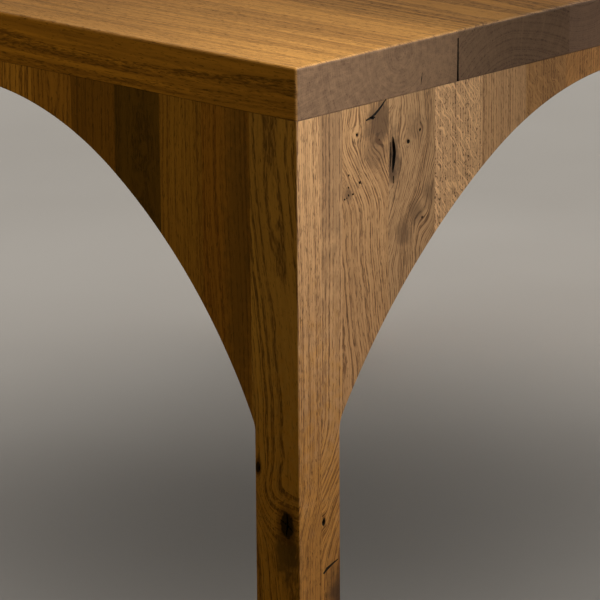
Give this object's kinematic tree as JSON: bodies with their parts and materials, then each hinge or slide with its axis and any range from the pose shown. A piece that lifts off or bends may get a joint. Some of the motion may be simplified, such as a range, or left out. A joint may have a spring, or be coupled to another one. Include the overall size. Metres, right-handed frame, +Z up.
{
  "type": "communion table",
  "caption": "Solid oak communion table: thick plank top flush on four laminated posts and arched side panels of upright staves, held by cleats inside.",
  "frame": {"origin": "on the floor under the middle of the table", "axes": "+Z up, +X along the longer side and across the planks of the top, +Y along the planks"},
  "size_m": [1.2, 1.1, 0.8],
  "materials": {
    "top_oak": "oiled, satin",
    "leg_oak": "oiled, satin",
    "panel_oak": "oiled, satin",
    "cleat_oak": "planed, unfinished",
    "tenon_beech": "pressed, unfinished",
    "screw_steel": "zinc plated",
    "glide_plastic": "moulded, brown"
  },
  "bodies": {
    "root": {"back_cleat": "cleat_oak", "back_crown_staves": "panel_oak", "back_left_glide": "glide_plastic", "back_left_leg_inner_board": "leg_oak", "back_left_leg_outer_board": "leg_oak", "back_right_glide": "glide_plastic", "back_right_leg_inner_board": "leg_oak", "back_right_leg_outer_board": "leg_oak", "back_stave_1": "panel_oak", "back_stave_2": "panel_oak", "back_stave_3": "panel_oak", "back_stave_4": "panel_oak", "back_stave_5": "panel_oak", "back_stave_6": "panel_oak", "back_stave_7": "panel_oak", "back_stave_8": "panel_oak", "cleat_screws": "screw_steel", "front_cleat": "cleat_oak", "front_crown_staves": "panel_oak", "front_left_glide": "glide_plastic", "front_left_leg_inner_board": "leg_oak", "front_left_leg_outer_board": "leg_oak", "front_right_glide": "glide_plastic", "front_right_leg_inner_board": "leg_oak", "front_right_leg_outer_board": "leg_oak", "front_stave_1": "panel_oak", "front_stave_2": "panel_oak", "front_stave_3": "panel_oak", "front_stave_4": "panel_oak", "front_stave_5": "panel_oak", "front_stave_6": "panel_oak", "front_stave_7": "panel_oak", "front_stave_8": "panel_oak", "left_cleat": "cleat_oak", "left_crown_staves": "panel_oak", "left_stave_1": "panel_oak", "left_stave_2": "panel_oak", "left_stave_3": "panel_oak", "left_stave_4": "panel_oak", "left_stave_5": "panel_oak", "left_stave_6": "panel_oak", "left_stave_7": "panel_oak", "left_stave_8": "panel_oak", "loose_tenons": "tenon_beech", "right_cleat": "cleat_oak", "right_crown_staves": "panel_oak", "right_stave_1": "panel_oak", "right_stave_2": "panel_oak", "right_stave_3": "panel_oak", "right_stave_4": "panel_oak", "right_stave_5": "panel_oak", "right_stave_6": "panel_oak", "right_stave_7": "panel_oak", "right_stave_8": "panel_oak", "top_plank_1": "top_oak", "top_plank_2": "top_oak", "top_plank_3": "top_oak", "top_plank_4": "top_oak", "top_plank_5": "top_oak", "top_screws": "screw_steel"}
  },
  "joints": []
}
